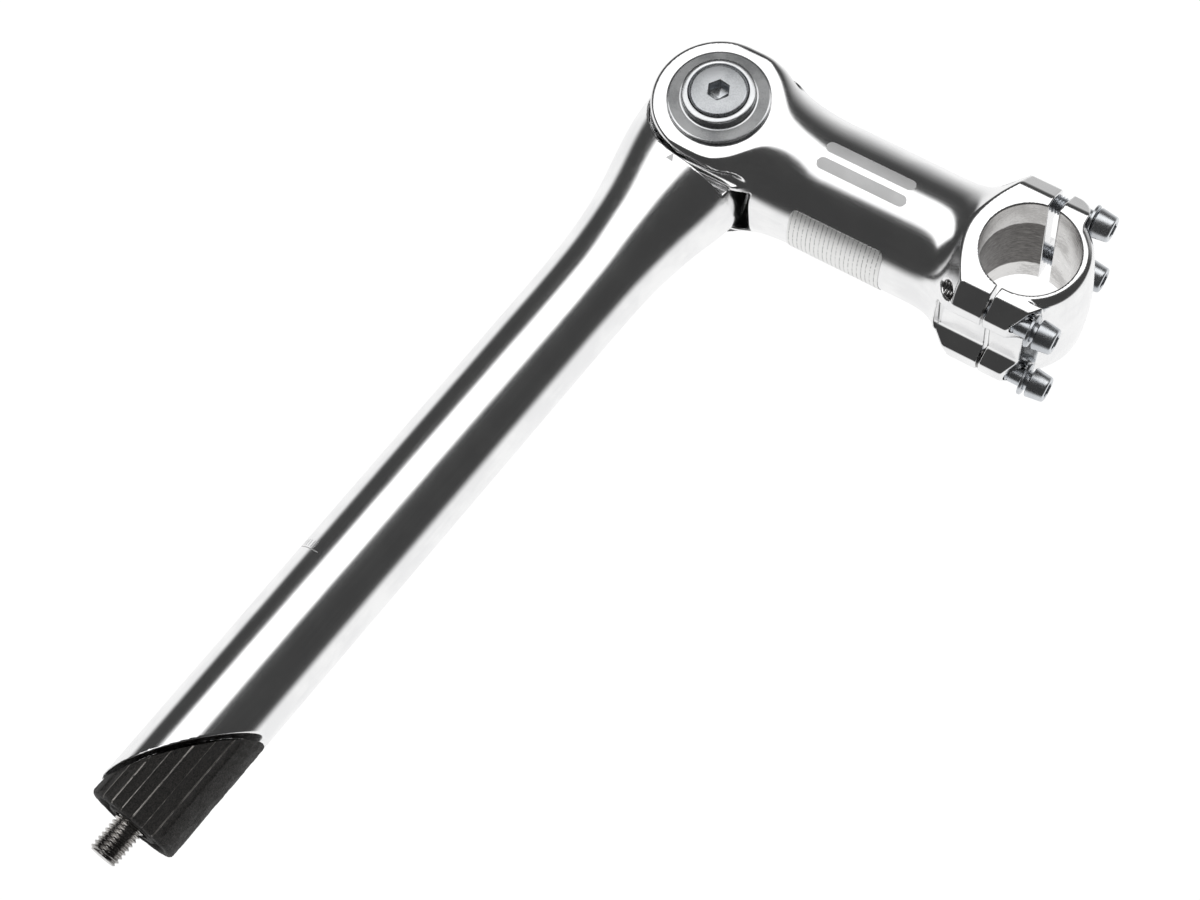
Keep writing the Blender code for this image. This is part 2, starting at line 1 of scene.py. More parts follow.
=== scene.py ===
"""The looks of the handlebar stem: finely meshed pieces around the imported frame, procedural
materials, soft studio light and the camera.

Shapes are worked out in millimetres, in two frames of their own. The stem's frame has its
origin at the pivot and Z up the quill; the arm's frame has the same origin and X along the arm.
"""

import json
import math
from itertools import product

import bpy
import numpy as np
from mathutils import Matrix, Vector

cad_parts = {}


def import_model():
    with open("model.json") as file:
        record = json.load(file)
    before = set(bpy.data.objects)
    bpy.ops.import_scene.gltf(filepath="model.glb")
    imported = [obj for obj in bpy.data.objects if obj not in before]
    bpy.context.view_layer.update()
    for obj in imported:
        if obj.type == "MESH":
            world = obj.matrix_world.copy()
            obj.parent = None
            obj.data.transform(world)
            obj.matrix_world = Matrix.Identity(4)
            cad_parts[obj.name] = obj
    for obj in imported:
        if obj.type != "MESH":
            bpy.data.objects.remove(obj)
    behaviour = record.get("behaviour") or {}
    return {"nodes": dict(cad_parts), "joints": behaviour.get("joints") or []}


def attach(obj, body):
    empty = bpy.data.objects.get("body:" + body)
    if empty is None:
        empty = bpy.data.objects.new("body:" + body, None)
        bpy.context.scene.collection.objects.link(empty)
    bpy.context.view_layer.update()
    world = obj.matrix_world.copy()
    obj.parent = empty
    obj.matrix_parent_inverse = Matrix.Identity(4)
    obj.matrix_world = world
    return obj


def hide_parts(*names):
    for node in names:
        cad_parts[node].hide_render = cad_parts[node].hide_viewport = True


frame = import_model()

MM = 0.001
TAU = math.tau


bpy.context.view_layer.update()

# Places, from the frame
JOINTS = {joint["name"]: joint for joint in frame["joints"]}
PIVOT = np.array(JOINTS["arm_hinge"]["pos_m"])
ALONG = np.array(JOINTS["faceplate_slide"]["axis"])
ALONG /= np.linalg.norm(ALONG)
ACROSS = np.array([0.0, 1.0, 0.0])
STEM_AXES = np.eye(3)
ARM_AXES = np.array([ALONG, ACROSS, np.cross(ALONG, ACROSS)])


def in_arm(point):
    """A point of the row frame, in metres, as millimetres in the arm's frame."""
    return ARM_AXES @ (np.array(point) - PIVOT) / MM


BOLTS = {n: in_arm(JOINTS[f"clamp_bolt_{n}_spin"]["pos_m"]) for n in range(1, 5)}
BAR = float(BOLTS[1][0])

# Sizes in millimetres, close to those of the frame's own pieces
QUILL_R, QUILL_BORE, CHANNEL_R = 12.7, 9.5, 6.9
SHELF_TOP, SHELF_LOW, EXPANDER_END = -53.2, -62.2, -243.2
WEDGE_R, WEDGE_FOOT, WEDGE_SHIFT = 12.45, -233.1, 0.4
SADDLE_R, TONGUE_R, TONGUE_HALF, SLEEVE_HOLE_R = 18.3, 16.5, 9.9, 6.8
SLANT_AT, SLANT = -212.8, math.radians(52.3)
CHEEK_R, CHEEK_HALF, BODY_R, SLOT_END, SLOT_HALF = 17.6, 18.9, 17.4, 18.0, 10.2
CLAMP_HALF, CLAMP_HIGH, CLAMP_LOW = 19.6, 20.4, 20.8
BAR_R, PLATE_R, PLATE_CROWN = 12.7, 16.8, 1.3
CHANNEL_FLOOR, CHANNEL_HALF, CHANNEL_LENGTH = 17.0, 7.0, 15.5
TOP_CHAMFER_AT, LOW_CHAMFER_AT = 15.6, 15.8
SPLIT_BACK, SPLIT_LEAN, PLATE_BACK, PLATE_LEAN = 2.05, 0.035, 0.05, 0.0976
POCKET_R, TONGUE_POCKET, ARM_POCKET = 14.8, 7.9, 12.4
CAP_HOLE_R = 9.8
M5_HOLE, M5_TAP, SPOT_R = 2.6, 2.3, 4.7
TOP_SEAT, LOW_SEAT, WASHER, TOP_SLACK, LOW_SLACK = 8.3, 9.4, 0.9, 0.3, 1.1
M8_PITCH, M5_PITCH = 1.25, 0.8
RIDGE_ANGLE, RIDGE_STEP = 121.5, 15.5
LABEL_START, LABEL_STOP, LABEL_CORNER, LABEL_HALF = 29.4, 55.9, 1.6, math.radians(34.8)


# Fields: negative inside the solid, positive outside, in millimetres


def round_max(a, b, r):
    """The overlap of two solids, with a round edge of radius r where their faces meet."""
    return np.minimum(np.maximum(a, b), -r) + np.hypot(np.maximum(a + r, 0), np.maximum(b + r, 0))


def round_min(a, b, r):
    """The union of two solids, with a hollow of radius r where their faces meet."""
    return -round_max(-a, -b, r)


def ramp(x, start, length):
    t = np.clip((x - start) / length, 0, 1)
    return t * t * (3 - 2 * t)


def curve(x, knots):
    """A natural cubic spline through the knots (x, y), level beyond its ends."""
    at, value = np.array(knots, float).T
    gap = np.diff(at)
    rise = np.diff(value) / gap
    count = len(at)
    system, right = np.eye(count), np.zeros(count)
    for i in range(1, count - 1):
        system[i, i - 1 : i + 2] = gap[i - 1], 2 * (gap[i - 1] + gap[i]), gap[i]
        right[i] = 6 * (rise[i] - rise[i - 1])
    bend = np.linalg.solve(system, right)
    x = np.clip(x, at[0], at[-1])
    i = np.clip(np.searchsorted(at, x) - 1, 0, count - 2)
    low, high = x - at[i], at[i + 1] - x
    cubic = (bend[i] * high**3 + bend[i + 1] * low**3) / (6 * gap[i])
    first = (value[i] / gap[i] - bend[i] * gap[i] / 6) * high
    return cubic + first + (value[i + 1] / gap[i] - bend[i + 1] * gap[i] / 6) * low


NECK = [
    # height, rear reach, front reach, half width, squareness
    (-92, 12.7, 12.7, 12.7, 2.0),
    (-78, 12.7, 12.7, 12.7, 2.0),
    (-66, 12.7, 12.7, 12.7, 2.0),
    (-56, 12.85, 12.8, 12.8, 2.0),
    (-46, 13.4, 13.1, 13.2, 2.02),
    (-38, 14.3, 13.8, 14.0, 2.05),
    (-30, 15.8, 14.9, 15.1, 2.1),
    (-23, 17.5, 16.2, 16.3, 2.2),
    (-16, 19.0, 17.0, 17.5, 2.3),
    (-10, 19.8, 16.2, 18.3, 2.35),
    (-5, 20.0, 14.0, 18.8, 2.4),
    (-1, 19.9, 12.0, 18.9, 2.4),
]


def neck_field(x, y, z):
    rear, front, wide, square = [
        curve(z, [(row[0], row[k]) for row in NECK]) for k in range(1, 5)
    ]
    out = np.hypot(x, y) + 1e-6
    reach = np.abs(x) / np.where(x > 0, front, rear)
    share = (reach**square + (np.abs(y) / wide) ** square) ** (1 / square) + 1e-6
    return out - out / share


def slant_field(x, z, gap=0.0):
    """Positive below the slanted cut, which faces down and to the rear."""
    return math.sin(SLANT) * x - math.cos(SLANT) * (z - SLANT_AT) - gap


def quill_field(x, y, z):
    body = round_max(neck_field(x, y, z), z + 2, 1.5)
    tongue = round_max(np.hypot(x, z) - TONGUE_R, np.abs(y) - TONGUE_HALF, 0.5)
    body = round_min(body, tongue, 0.5)
    room = SADDLE_R - np.hypot(np.minimum(x, 0), np.minimum(z, 0))
    cheeks = -round_max(-room, TONGUE_HALF - np.abs(y), 0.6)
    body = round_max(body, cheeks, 0.45)
    pocket = np.minimum(POCKET_R - np.hypot(x, z), np.abs(y) - TONGUE_POCKET)
    body = np.maximum(body, pocket)
    out = np.hypot(x, y)
    bore = np.minimum(QUILL_BORE - out, SHELF_LOW - z)
    channel = np.minimum(CHANNEL_R - out, z - SHELF_TOP)
    body = round_max(body, np.maximum(np.maximum(bore, channel), 4.3 - out), 0.4)
    body = round_max(body, SLEEVE_HOLE_R - np.hypot(x, z), 0.3)
    return round_max(body, slant_field(x, z), 0.35)


def box_section(a, b, half_a, half_b, corner):
    """The distance to a rectangle with round corners."""
    a, b = np.abs(a) - half_a + corner, np.abs(b) - half_b + corner
    outside = np.hypot(np.maximum(a, 0), np.maximum(b, 0))
    return outside + np.minimum(np.maximum(a, b), 0) - corner


def block_field(y, z):
    """The clamp's section across the arm: a rectangle with its corners cut off."""
    ends = np.maximum(z - CLAMP_HIGH, -z - CLAMP_LOW)
    box = round_max(np.abs(y) - CLAMP_HALF, ends, 0.4)
    high = 0.816 * (np.abs(y) - CLAMP_HALF) + 0.578 * (z - TOP_CHAMFER_AT)
    low = 0.707 * (np.abs(y) - CLAMP_HALF - z - LOW_CHAMFER_AT)
    return round_max(box, np.maximum(high, low), 0.5)


FLARE = [
    # distance along the arm, radius
    (58, 17.4), (62, 17.4), (65, 17.45), (67.5, 17.65), (69.8, 18.2), (72.25, 19.5),
    (74.5, 21.6), (78, 25.1), (90, 37.1),
]


def flare_field(x, y, z):
    """The arm opens out at its end: a hollow curve, then a cone of 45 degrees."""
    slope = (curve(x + 0.05, FLARE) - curve(x - 0.05, FLARE)) / 0.1
    return (np.hypot(y, z) - curve(x, FLARE)) / np.sqrt(1 + slope**2)


def channel_field(y, z):
    """Positive inside the channels between the bolt bosses."""
    high = np.abs(z) - CHANNEL_FLOOR
    side = (CHANNEL_HALF + high - np.abs(y)) / math.sqrt(2)
    return -round_max(-high, -side, 0.6)


ARM_CORNERS = [
    # distance along the arm, radius of the section's corners
    (-4, 1.2), (0, 1.2), (5, 1.6), (8, 3.4), (11, 6.2), (14, 10.2), (16.5, 13.4),
    (20, 15.8), (24, 16.9), (28, 17.35), (33, 17.4),
]
ARM_HALVES = [
    # distance along the arm, half width
    (-4, 18.9), (5, 18.9), (12, 18.85), (16, 18.7), (18.5, 18.5), (22, 18.1),
    (25.5, 17.7), (29, 17.45), (34, 17.4),
]


def arm_field(x, y, z):
    half = curve(x, ARM_HALVES)
    corner = np.clip(curve(x, ARM_CORNERS), 1.2, BODY_R)
    high = CHEEK_R - (CHEEK_R - BODY_R) * ramp(x, 6.0, 19.0)
    tube = box_section(y, z, half, high, corner)
    end = round_max(np.hypot(x, z) - CHEEK_R, np.abs(y) - CHEEK_HALF, 1.2)
    body = np.where(x < 0, end, np.where(x > 45, flare_field(x, y, z), tube))
    body = round_max(body, block_field(y, z), 0.45)
    slot = -round_max(np.abs(y) - SLOT_HALF, x - SLOT_END, 0.6)
    body = round_max(body, slot, 0.45)
    pocket = np.minimum(POCKET_R - np.hypot(x, z), ARM_POCKET - np.abs(y))
    body = np.maximum(body, pocket)
    body = round_max(body, CAP_HOLE_R - np.hypot(x, z), 0.3)
    body = round_max(body, BAR_R - np.hypot(x - BAR, z), 0.5)
    channel = np.minimum(channel_field(y, z), x - BAR + CHANNEL_LENGTH)
    body = round_max(body, channel, 0.5)
    holes = M5_TAP - np.hypot(np.abs(y) - BOLTS[2][1], np.abs(z) - BOLTS[2][2])
    body = round_max(body, holes, 0.3)
    return round_max(body, x - (BAR - SPLIT_BACK + SPLIT_LEAN * z), 0.35)


def plate_field(x, y, z):
    along = x - BAR
    out = np.hypot(along, z)
    crown = PLATE_R - PLATE_CROWN * (y / CLAMP_HALF) ** 2
    bevel = (np.abs(y) - CLAMP_HALF + out - crown + 1.5) / math.sqrt(2)
    round_front = round_max(out - crown, bevel, 0.6)
    slant = 0.78 * (along - 4.0) - 0.626 * (z + 21.0)
    low_lug = round_max(slant, z + 12.9, 0.4)
    high_lug = round_max(round_max(along - TOP_SEAT, z - CLAMP_HIGH, 5.5), 10.0 - z, 0.4)
    body = round_min(round_front, np.minimum(low_lug, high_lug), 0.8)
    body = round_max(body, block_field(y, z), 0.45)
    body = round_max(body, PLATE_LEAN * z - PLATE_BACK - along, 0.35)
    body = round_max(body, BAR_R - out, 0.5)
    body = round_max(body, channel_field(y, z), 0.5)
    across = np.hypot(np.abs(y) - BOLTS[2][1], np.abs(z) - BOLTS[2][2])
    seat = np.where(z > 0, TOP_SEAT, LOW_SEAT) - 0.3
    spot = -round_max(across - SPOT_R, seat - along, 0.3)
    body = round_max(body, spot, 0.25)
    return round_max(body, M5_HOLE - across, 0.25)


# Meshes


def slope_of(field, points, small=0.02):
    steps = np.eye(3) * small
    rise = [field(*(points + step).T) - field(*(points - step).T) for step in steps]
    return np.stack(rise, axis=1) / (2 * small)


def settle(field, points, rounds=5, most=0.4):
    """Moves points onto the surface where the field is zero."""
    for _ in range(rounds):
        slope = slope_of(field, points)
        size = np.maximum((slope**2).sum(axis=1), 0.1)
        move = slope * (field(*points.T) / size)[:, None]
        length = np.linalg.norm(move, axis=1)[:, None]
        points = points - move * np.minimum(1, most / np.maximum(length, 1e-9))
    return points


def edge_points(values, grid, cells):
    """For each cell, the middle of the places where its edges cross the surface."""
    total, number = np.zeros((len(cells), 3)), np.zeros(len(cells))
    for axis in range(3):
        others = [k for k in range(3) if k != axis]
        for shift in product((0, 1), repeat=2):
            start = cells.copy()
            start[:, others] += shift
            stop = start.copy()
            stop[:, axis] += 1
            first, last = values[tuple(start.T)], values[tuple(stop.T)]
            crossed = (first < 0) != (last < 0)
            part = np.where(crossed, first / np.where(crossed, first - last, 1), 0)
            here = np.stack([grid[k][start[:, k]] for k in range(3)], axis=1)
            here[:, axis] += part * (grid[axis][stop[:, axis]] - here[:, axis])
            total += here * crossed[:, None]
            number += crossed
    return total / number[:, None]


def net(field, grid):
    """A net of quads over the surface where the field is zero, on a grid of three lists."""
    xs, ys, zs = grid
    values = field(xs[:, None, None], ys[None, :, None], zs[None, None, :])
    values = np.ascontiguousarray(np.broadcast_to(values, (len(xs), len(ys), len(zs))))
    inside = values < 0
    cell_shape = tuple(size - 1 for size in values.shape)
    count = np.zeros(cell_shape, np.int8)
    for i, j, k in product((0, 1), repeat=3):
        count += inside[i : i + cell_shape[0], j : j + cell_shape[1], k : k + cell_shape[2]]
    active = (count > 0) & (count < 8)
    cells = np.argwhere(active)
    number = np.full(cell_shape, -1)
    number[active] = np.arange(len(cells))
    points = edge_points(values, grid, cells)
    quads = []
    for axis in range(3):
        a, b = [k for k in range(3) if k != axis]
        low = [slice(None)] * 3
        high = [slice(None)] * 3
        low[axis], high[axis] = slice(None, -1), slice(1, None)
        crossed = inside[tuple(low)] != inside[tuple(high)]
        at = np.argwhere(crossed)
        keep = (at[:, a] > 0) & (at[:, b] > 0)
        keep &= (at[:, a] < cell_shape[a]) & (at[:, b] < cell_shape[b])
        at = at[keep]
        ring = []
        for step_a, step_b in ((-1, -1), (0, -1), (0, 0), (-1, 0)):
            cell = at.copy()
            cell[:, a] += step_a
            cell[:, b] += step_b
            ring.append(number[tuple(cell.T)])
        ring = np.stack(ring, axis=1)
        flip = inside[tuple(at.T)] != (axis == 1)
        ring[~flip] = ring[~flip][:, ::-1]
        quads.append(ring)
    return points, np.concatenate(quads)


def span(low, high, step):
    return np.linspace(low, high, int(round((high - low) / step)) + 1)


def mesh_object(name, points, faces, axes, normals=None):
    """A mesh from points in millimetres in the stem's or the arm's frame."""
    mesh = bpy.data.meshes.new(name)
    world = np.asarray(points) @ axes * MM + PIVOT
    mesh.from_pydata(world.tolist(), [], [list(face) for face in faces])
    mesh.validate()
    mesh.shade_smooth()
    if normals is not None:
        mesh.normals_split_custom_set_from_vertices((normals @ axes).tolist())
    made = bpy.data.objects.new(name, mesh)
    bpy.context.scene.collection.objects.link(made)
    return made


def moulded(name, field, grid, axes):
    """A piece whose whole surface is a field's, with the field's own normals."""
    points, quads = net(field, grid)
    points = settle(field, points)
    normals = slope_of(field, points)
    normals /= np.maximum(np.linalg.norm(normals, axis=1), 1e-9)[:, None]
    return mesh_object(name, points, quads.tolist(), axes, normals)


def lathe(name, rows, axes, place=(0, 0, 0), way="Z", sharp=35, paints=None):
    """A closed piece from rows of (radius, distance): each radius a number, or one number for
    each step round the axis. The first and last rows close on the axis unless they meet."""
    steps = max([np.size(radius) for radius, _ in rows] + [64])
    turn = np.arange(steps) * TAU / steps
    points = []
    for radius, along in rows:
        radius = np.broadcast_to(radius, steps)
        along = np.broadcast_to(along, steps)
        points.append(np.stack([radius * np.cos(turn), radius * np.sin(turn), along], axis=1))
    count = len(rows)
    points = np.concatenate(points)
    faces, kinds = [], []
    hollow = rows[0] is rows[-1]
    if hollow:
        points = points[:-steps]
    for i in range(count - 1):
        low, high = i * steps, (i + 1) * steps
        if hollow and i == count - 2:
            high = 0
        for k in range(steps):
            n = (k + 1) % steps
            faces.append((low + k, low + n, high + n, high + k))
            kinds.append(i)
    if not hollow:
        ends = [(0, 0, float(np.mean(rows[0][1]))), (0, 0, float(np.mean(rows[-1][1])))]
        first = len(points)
        points = np.concatenate([points, ends])
        top = (count - 1) * steps
        for k in range(steps):
            n = (k + 1) % steps
            faces.append((n, k, first))
            faces.append((top + k, top + n, first + 1))
            kinds += [0, count - 2]
    points = point_along(points, way) + np.array(place)
    made = mesh_object(name, points, faces, axes)
    made.data.set_sharp_from_angle(angle=math.radians(sharp))
    if paints:
        made.data.polygons.foreach_set("material_index", [paints[kind] for kind in kinds])
    return made


def point_along(points, way):
    x, y, z = np.asarray(points).T
    if way == "X":
        return np.stack([z, x, y], axis=1)
    if way == "-Y":
        return np.stack([x, -z, y], axis=1)
    if way == "Y":
        return np.stack([x, z, -y], axis=1)
    return np.stack([x, y, z], axis=1)


def hexagon(across, steps=96):
    angle = np.arange(steps) * TAU / steps
    return across / 2 / np.cos(angle % (math.pi / 3) - math.pi / 6)


def thread_rows(radius, depth, pitch, low, high, steps=96, per_turn=10):
    """Rows of a screw thread, which fades out at its upper end and has a pointed lower one."""
    turn = np.arange(steps) / steps
    rows = []
    for along in span(low, high, pitch / per_turn):
        phase = np.abs(((along / pitch - turn) % 1) * 2 - 1)
        cut = np.clip(phase * 1.35 - 0.15, 0, 1) * depth
        cut *= np.clip((high - along) / (0.6 * pitch), 0, 1)
        point = np.clip(depth - (along - low), 0, depth)
        rows.append((radius - np.maximum(cut, point), along))
    return rows


def socket_rows(head, across, top, depth, rim=0.25):
    """Rows from the rim of a head's flat face down into its hexagon socket."""
    hexa = hexagon(across)
    floor = top - depth
    return [
        (head, top),
        (hexa + rim, top),
        (hexa, top - rim),
        (hexa, floor),
        (hexa * 0.93, floor - 0.15),
        (0.2, floor - across * 0.22),
    ]


# Materials


def node(tree, kind, **values):
    """A shader node with its settings and its unlinked inputs."""
    made = tree.nodes.new(kind)
    for key, value in values.items():
        if key in made.inputs:
            made.inputs[key].default_value = value
        else:
            setattr(made, key, value)
    return made


def scaled_place(tree, scale, turn=0.0):
    """Object coordinates in millimetres, stretched along each axis and turned about Y."""
    place = node(tree, "ShaderNodeTexCoord")
    mapping = node(tree, "ShaderNodeMapping", vector_type="TEXTURE")
    mapping.inputs["Rotation"].default_value = (0, turn, 0)
    mapping.inputs["Scale"].default_value = [MM * size for size in scale]
    tree.links.new(place.outputs["Object"], mapping.inputs["Vector"])
    return mapping.outputs["Vector"]


def noise(tree, vector, scale, detail=4.0, rough=0.6):
    made = node(tree, "ShaderNodeTexNoise", Scale=scale, Detail=detail, Roughness=rough)
    tree.links.new(vector, made.inputs["Vector"])
    return made.outputs["Fac"]


def between(tree, factor, low, high, start=0.3, stop=0.7):
    """A factor spread over a range of numbers."""
    made = node(tree, "ShaderNodeMapRange")
    for name, value in zip(("From Min", "From Max", "To Min", "To Max"), (start, stop, low, high)):
        made.inputs[name].default_value = value
    tree.links.new(factor, made.inputs["Value"])
    return made.outputs["Result"]


def blend_colour(tree, factor, low, high, start=0.35, stop=0.65):
    ramp_node = node(tree, "ShaderNodeValToRGB")
    first, last = ramp_node.color_ramp.elements
    first.position, last.position = start, stop
    first.color, last.color = (*low, 1), (*high, 1)
    tree.links.new(factor, ramp_node.inputs["Fac"])
    return ramp_node.outputs["Color"]


def bump(tree, height, strength, distance, after=None):
    made = node(tree, "ShaderNodeBump", Strength=strength, Distance=distance * MM)
    tree.links.new(height, made.inputs["Height"])
    if after is not None:
        tree.links.new(after, made.inputs["Normal"])
    return made.outputs["Normal"]


def new_material(name, metallic, roughness, colour):
    made = bpy.data.materials.new(name)
    made.use_nodes = True
    made.diffuse_color = (*colour, 1)
    shader = made.node_tree.nodes["Principled BSDF"]
    shader.inputs["Metallic"].default_value = metallic
    shader.inputs["Roughness"].default_value = roughness
    shader.inputs["Base Color"].default_value = (*colour, 1)
    return made, made.node_tree, shader


def metal(name, light, dark, rough, grain, grain_scale, depth, stretch=(1, 1, 1), turn=0.0):
    """A metal whose colour, roughness and surface vary with a grain, which may be drawn out
    into brush lines, and with broad faint stains."""
    made, tree, shader = new_material(name, 1.0, rough[0], light)
    lines = noise(tree, scaled_place(tree, stretch, turn), grain_scale, 6.0, 0.65)
    stains = noise(tree, scaled_place(tree, (9, 9, 9)), 1.0, 3.0, 0.55)
    both = node(tree, "ShaderNodeMath", operation="MULTIPLY_ADD")
    both.inputs[1].default_value = grain
    tree.links.new(lines, both.inputs[0])
    tree.links.new(stains, both.inputs[2])
    colour = blend_colour(tree, both.outputs[0], dark, light, 0.45 + 0.4 * grain, 0.6 + 0.6 * grain)
    tree.links.new(colour, shader.inputs["Base Color"])
    tree.links.new(between(tree, lines, rough[0], rough[1]), shader.inputs["Roughness"])
    tree.links.new(bump(tree, lines, 0.6, depth), shader.inputs["Normal"])
    return made


def polished(name, along, turn=0.0):
    """Polished aluminium with faint brush lines along one axis."""
    stretch = {"X": (60, 1, 1), "Y": (1, 60, 1), "Z": (1, 1, 60)}[along]
    light, dark = (0.91, 0.91, 0.91), (0.84, 0.84, 0.845)
    return metal(name, light, dark, (0.13, 0.2), 0.5, 2.2, 0.0012, stretch, turn)


def painted_bore_shade(paint):
    """Paints shade into the middle of the bore, where it lies deepest from both ends: a dark, streaked
    band over the bored finish.
    """
    tree = paint.node_tree
    shader = tree.nodes["Principled BSDF"]
    found = shader.inputs["Base Color"].links[0].from_socket
    split = node(tree, "ShaderNodeSeparateXYZ")
    place = node(tree, "ShaderNodeTexCoord")
    tree.links.new(place.outputs["Object"], split.inputs[0])
    grain = noise(tree, scaled_place(tree, (4, 2, 4)), 1.6, 5.0)
    across = node(tree, "ShaderNodeMath", operation="MULTIPLY_ADD")
    across.inputs[1].default_value = 0.0012
    tree.links.new(grain, across.inputs[0])
    tree.links.new(split.outputs["Y"], across.inputs[2])
    # Painted shade: the band between these two soft edges across the bore is darkened to a streaked
    # near-black
    start = between(tree, across.outputs[0], 0.0, 1.0, -0.0090, -0.0084)
    stop = between(tree, across.outputs[0], 1.0, 0.0, 0.0124, 0.0130)
    shade_mask = node(tree, "ShaderNodeMath", operation="MULTIPLY")
    tree.links.new(start, shade_mask.inputs[0])
    tree.links.new(stop, shade_mask.inputs[1])
    streaks = noise(tree, scaled_place(tree, (3, 0.5, 3), 0.5), 1.2, 6.0, 0.7)
    deep = blend_colour(tree, streaks, (0.07, 0.065, 0.062), (0.24, 0.23, 0.22), 0.4, 0.8)
    blend = node(tree, "ShaderNodeMix", data_type="RGBA")
    tree.links.new(shade_mask.outputs[0], blend.inputs["Factor"])
    tree.links.new(found, blend.inputs[6])
    tree.links.new(deep, blend.inputs[7])
    tree.links.new(blend.outputs[2], shader.inputs["Base Color"])


def cast_black():
    made, tree, shader = new_material("black_casting", 0.0, 0.6, (0.03, 0.029, 0.028))
    place = scaled_place(tree, (1, 1, 1))
    pits = noise(tree, place, 3.2, 8.0, 0.75)
    broad = noise(tree, place, 0.5, 3.0)
    colour = blend_colour(tree, pits, (0.008, 0.008, 0.008), (0.13, 0.12, 0.11), 0.42, 0.78)
    tree.links.new(colour, shader.inputs["Base Color"])
    tree.links.new(between(tree, broad, 0.5, 0.75), shader.inputs["Roughness"])
    tree.links.new(bump(tree, pits, 1.0, 0.5), shader.inputs["Normal"])
    return made


def printed_film():
    """White film with plain, broken grey rules across it."""
    made, tree, shader = new_material("label_film", 0.85, 0.38, (0.95, 0.95, 0.94))
    turn = -math.atan2(ALONG[2], ALONG[0])
    place = scaled_place(tree, (1, 1, 1), turn)
    split = node(tree, "ShaderNodeSeparateXYZ")
    tree.links.new(place, split.inputs[0])
    waves = node(tree, "ShaderNodeMath", operation="PINGPONG")
    waves.inputs[1].default_value = 0.62
    tree.links.new(split.outputs["X"], waves.inputs[0])
    rules = between(tree, waves.outputs[0], 1.0, 0.0, 0.08, 0.14)
    gaps = noise(tree, scaled_place(tree, (0.6, 1, 0.5), turn), 1.6, 2.0)
    broken = between(tree, gaps, 0.0, 1.0, 0.44, 0.5)
    ink = node(tree, "ShaderNodeMath", operation="MULTIPLY")
    tree.links.new(rules, ink.inputs[0])
    tree.links.new(broken, ink.inputs[1])
    colour = blend_colour(tree, ink.outputs[0], (0.96, 0.96, 0.95), (0.4, 0.4, 0.4), 0.0, 1.0)
    tree.links.new(colour, shader.inputs["Base Color"])
    grain = noise(tree, scaled_place(tree, (1, 1, 1)), 6.0)
    tree.links.new(between(tree, grain, 0.34, 0.44), shader.inputs["Roughness"])
    return made


PAINTS = {}
METALS = {
    # name, light and dark colour, roughness, grain, its scale, its depth, stretch and turn
    "bored": (
        "bored_aluminium", (0.8, 0.79, 0.78), (0.5, 0.49, 0.48), (0.24, 0.42), 0.9, 2.0, 0.03,
        (7, 1.2, 1.6), 0.7,
    ),
    # The arm's bored finish, with painted shade added across the middle of its bore further down
    "bored_arm_with_painted_shade": (
        "bored_arm_with_painted_shade", (0.8, 0.79, 0.78), (0.55, 0.54, 0.53), (0.3, 0.5), 0.9, 2.0, 0.03,
        (5, 1.2, 1.6), 0.7,
    ),
    "satin": ("satin_zinc", (0.86, 0.88, 0.9), (0.7, 0.72, 0.74), (0.45, 0.6), 0.9, 3.0, 0.05),
    "screw": ("screw_steel", (0.62, 0.6, 0.58), (0.3, 0.29, 0.28), (0.16, 0.26), 0.4, 1.2, 0.002),
    "worn": ("worn_casting", (0.4, 0.38, 0.36), (0.12, 0.115, 0.11), (0.4, 0.55), 0.9, 4.0, 0.03),
    "frosted": (
        "frosted_aluminium", (0.86, 0.86, 0.86), (0.78, 0.78, 0.78), (0.55, 0.68), 0.6, 5.0, 0.02,
    ),
    "zinc": ("zinc_plate", (0.72, 0.74, 0.76), (0.55, 0.57, 0.6), (0.22, 0.36), 0.6, 3.0, 0.012),
    "blasted": (
        "blasted_zinc", (0.47, 0.475, 0.48), (0.3, 0.305, 0.31), (0.4, 0.56), 0.9, 3.2, 0.12,
    ),
    "hub": ("bright_zinc", (0.78, 0.79, 0.8), (0.66, 0.67, 0.68), (0.2, 0.3), 0.5, 4.0, 0.008),
    "dark": ("dark_steel", (0.42, 0.41, 0.4), (0.2, 0.195, 0.19), (0.25, 0.42), 0.7, 3.0, 0.015),
}


def make_materials():
    arm_turn = -math.atan2(ALONG[2], ALONG[0])
    PAINTS["quill"] = polished("polished_quill", "Z")
    PAINTS["arm"] = polished("polished_arm", "X", arm_turn)
    PAINTS["plate"] = polished("polished_plate", "Y", arm_turn)
    for paint, values in METALS.items():
        PAINTS[paint] = metal(*values)
    # Paints shade into the middle of the arm's bore
    painted_bore_shade(PAINTS["bored_arm_with_painted_shade"])
    PAINTS["cast"] = cast_black()
    PAINTS["film"] = printed_film()


def finish_piece(piece, body, nodes, slot, *paints):
    for paint in paints:
        piece.data.materials.append(PAINTS[paint])
    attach(piece, body)
    if nodes:
        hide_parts(*nodes)
    return piece


# Pieces


def quill():
    heights = np.concatenate(
        [
            span(-241, -190, 0.45),
            span(-188, -96, 4.0),
            span(-92, -60, 1.0),
            span(-59.5, -36, 0.6),
            span(-35.5, 18, 0.45),
        ]
    )
    grid = (span(-21.5, 18.5, 0.45), span(-20, 20, 0.45), heights)
    piece = moulded("quill_shell", quill_field, grid, STEM_AXES)
    finish_piece(piece, "quill", ["quill_stem"], "polished_aluminium", "quill")


def paint_bore(piece):
    """Gives the faces of the handlebar's bore and of the split the bored finish, which on the arm also
    carries painted shade across the bore's middle.
    """
    mesh = piece.data
    centres = np.zeros(len(mesh.polygons) * 3)
    mesh.polygons.foreach_get("center", centres)
    local = (centres.reshape(-1, 3) - PIVOT) @ ARM_AXES.T / MM
    out = np.hypot(local[:, 0] - BAR, local[:, 2])
    bored = (out < BAR_R + 0.12) & (np.abs(local[:, 1]) < CLAMP_HALF - 0.3)
    mesh.polygons.foreach_set("material_index", bored.astype(int).tolist())


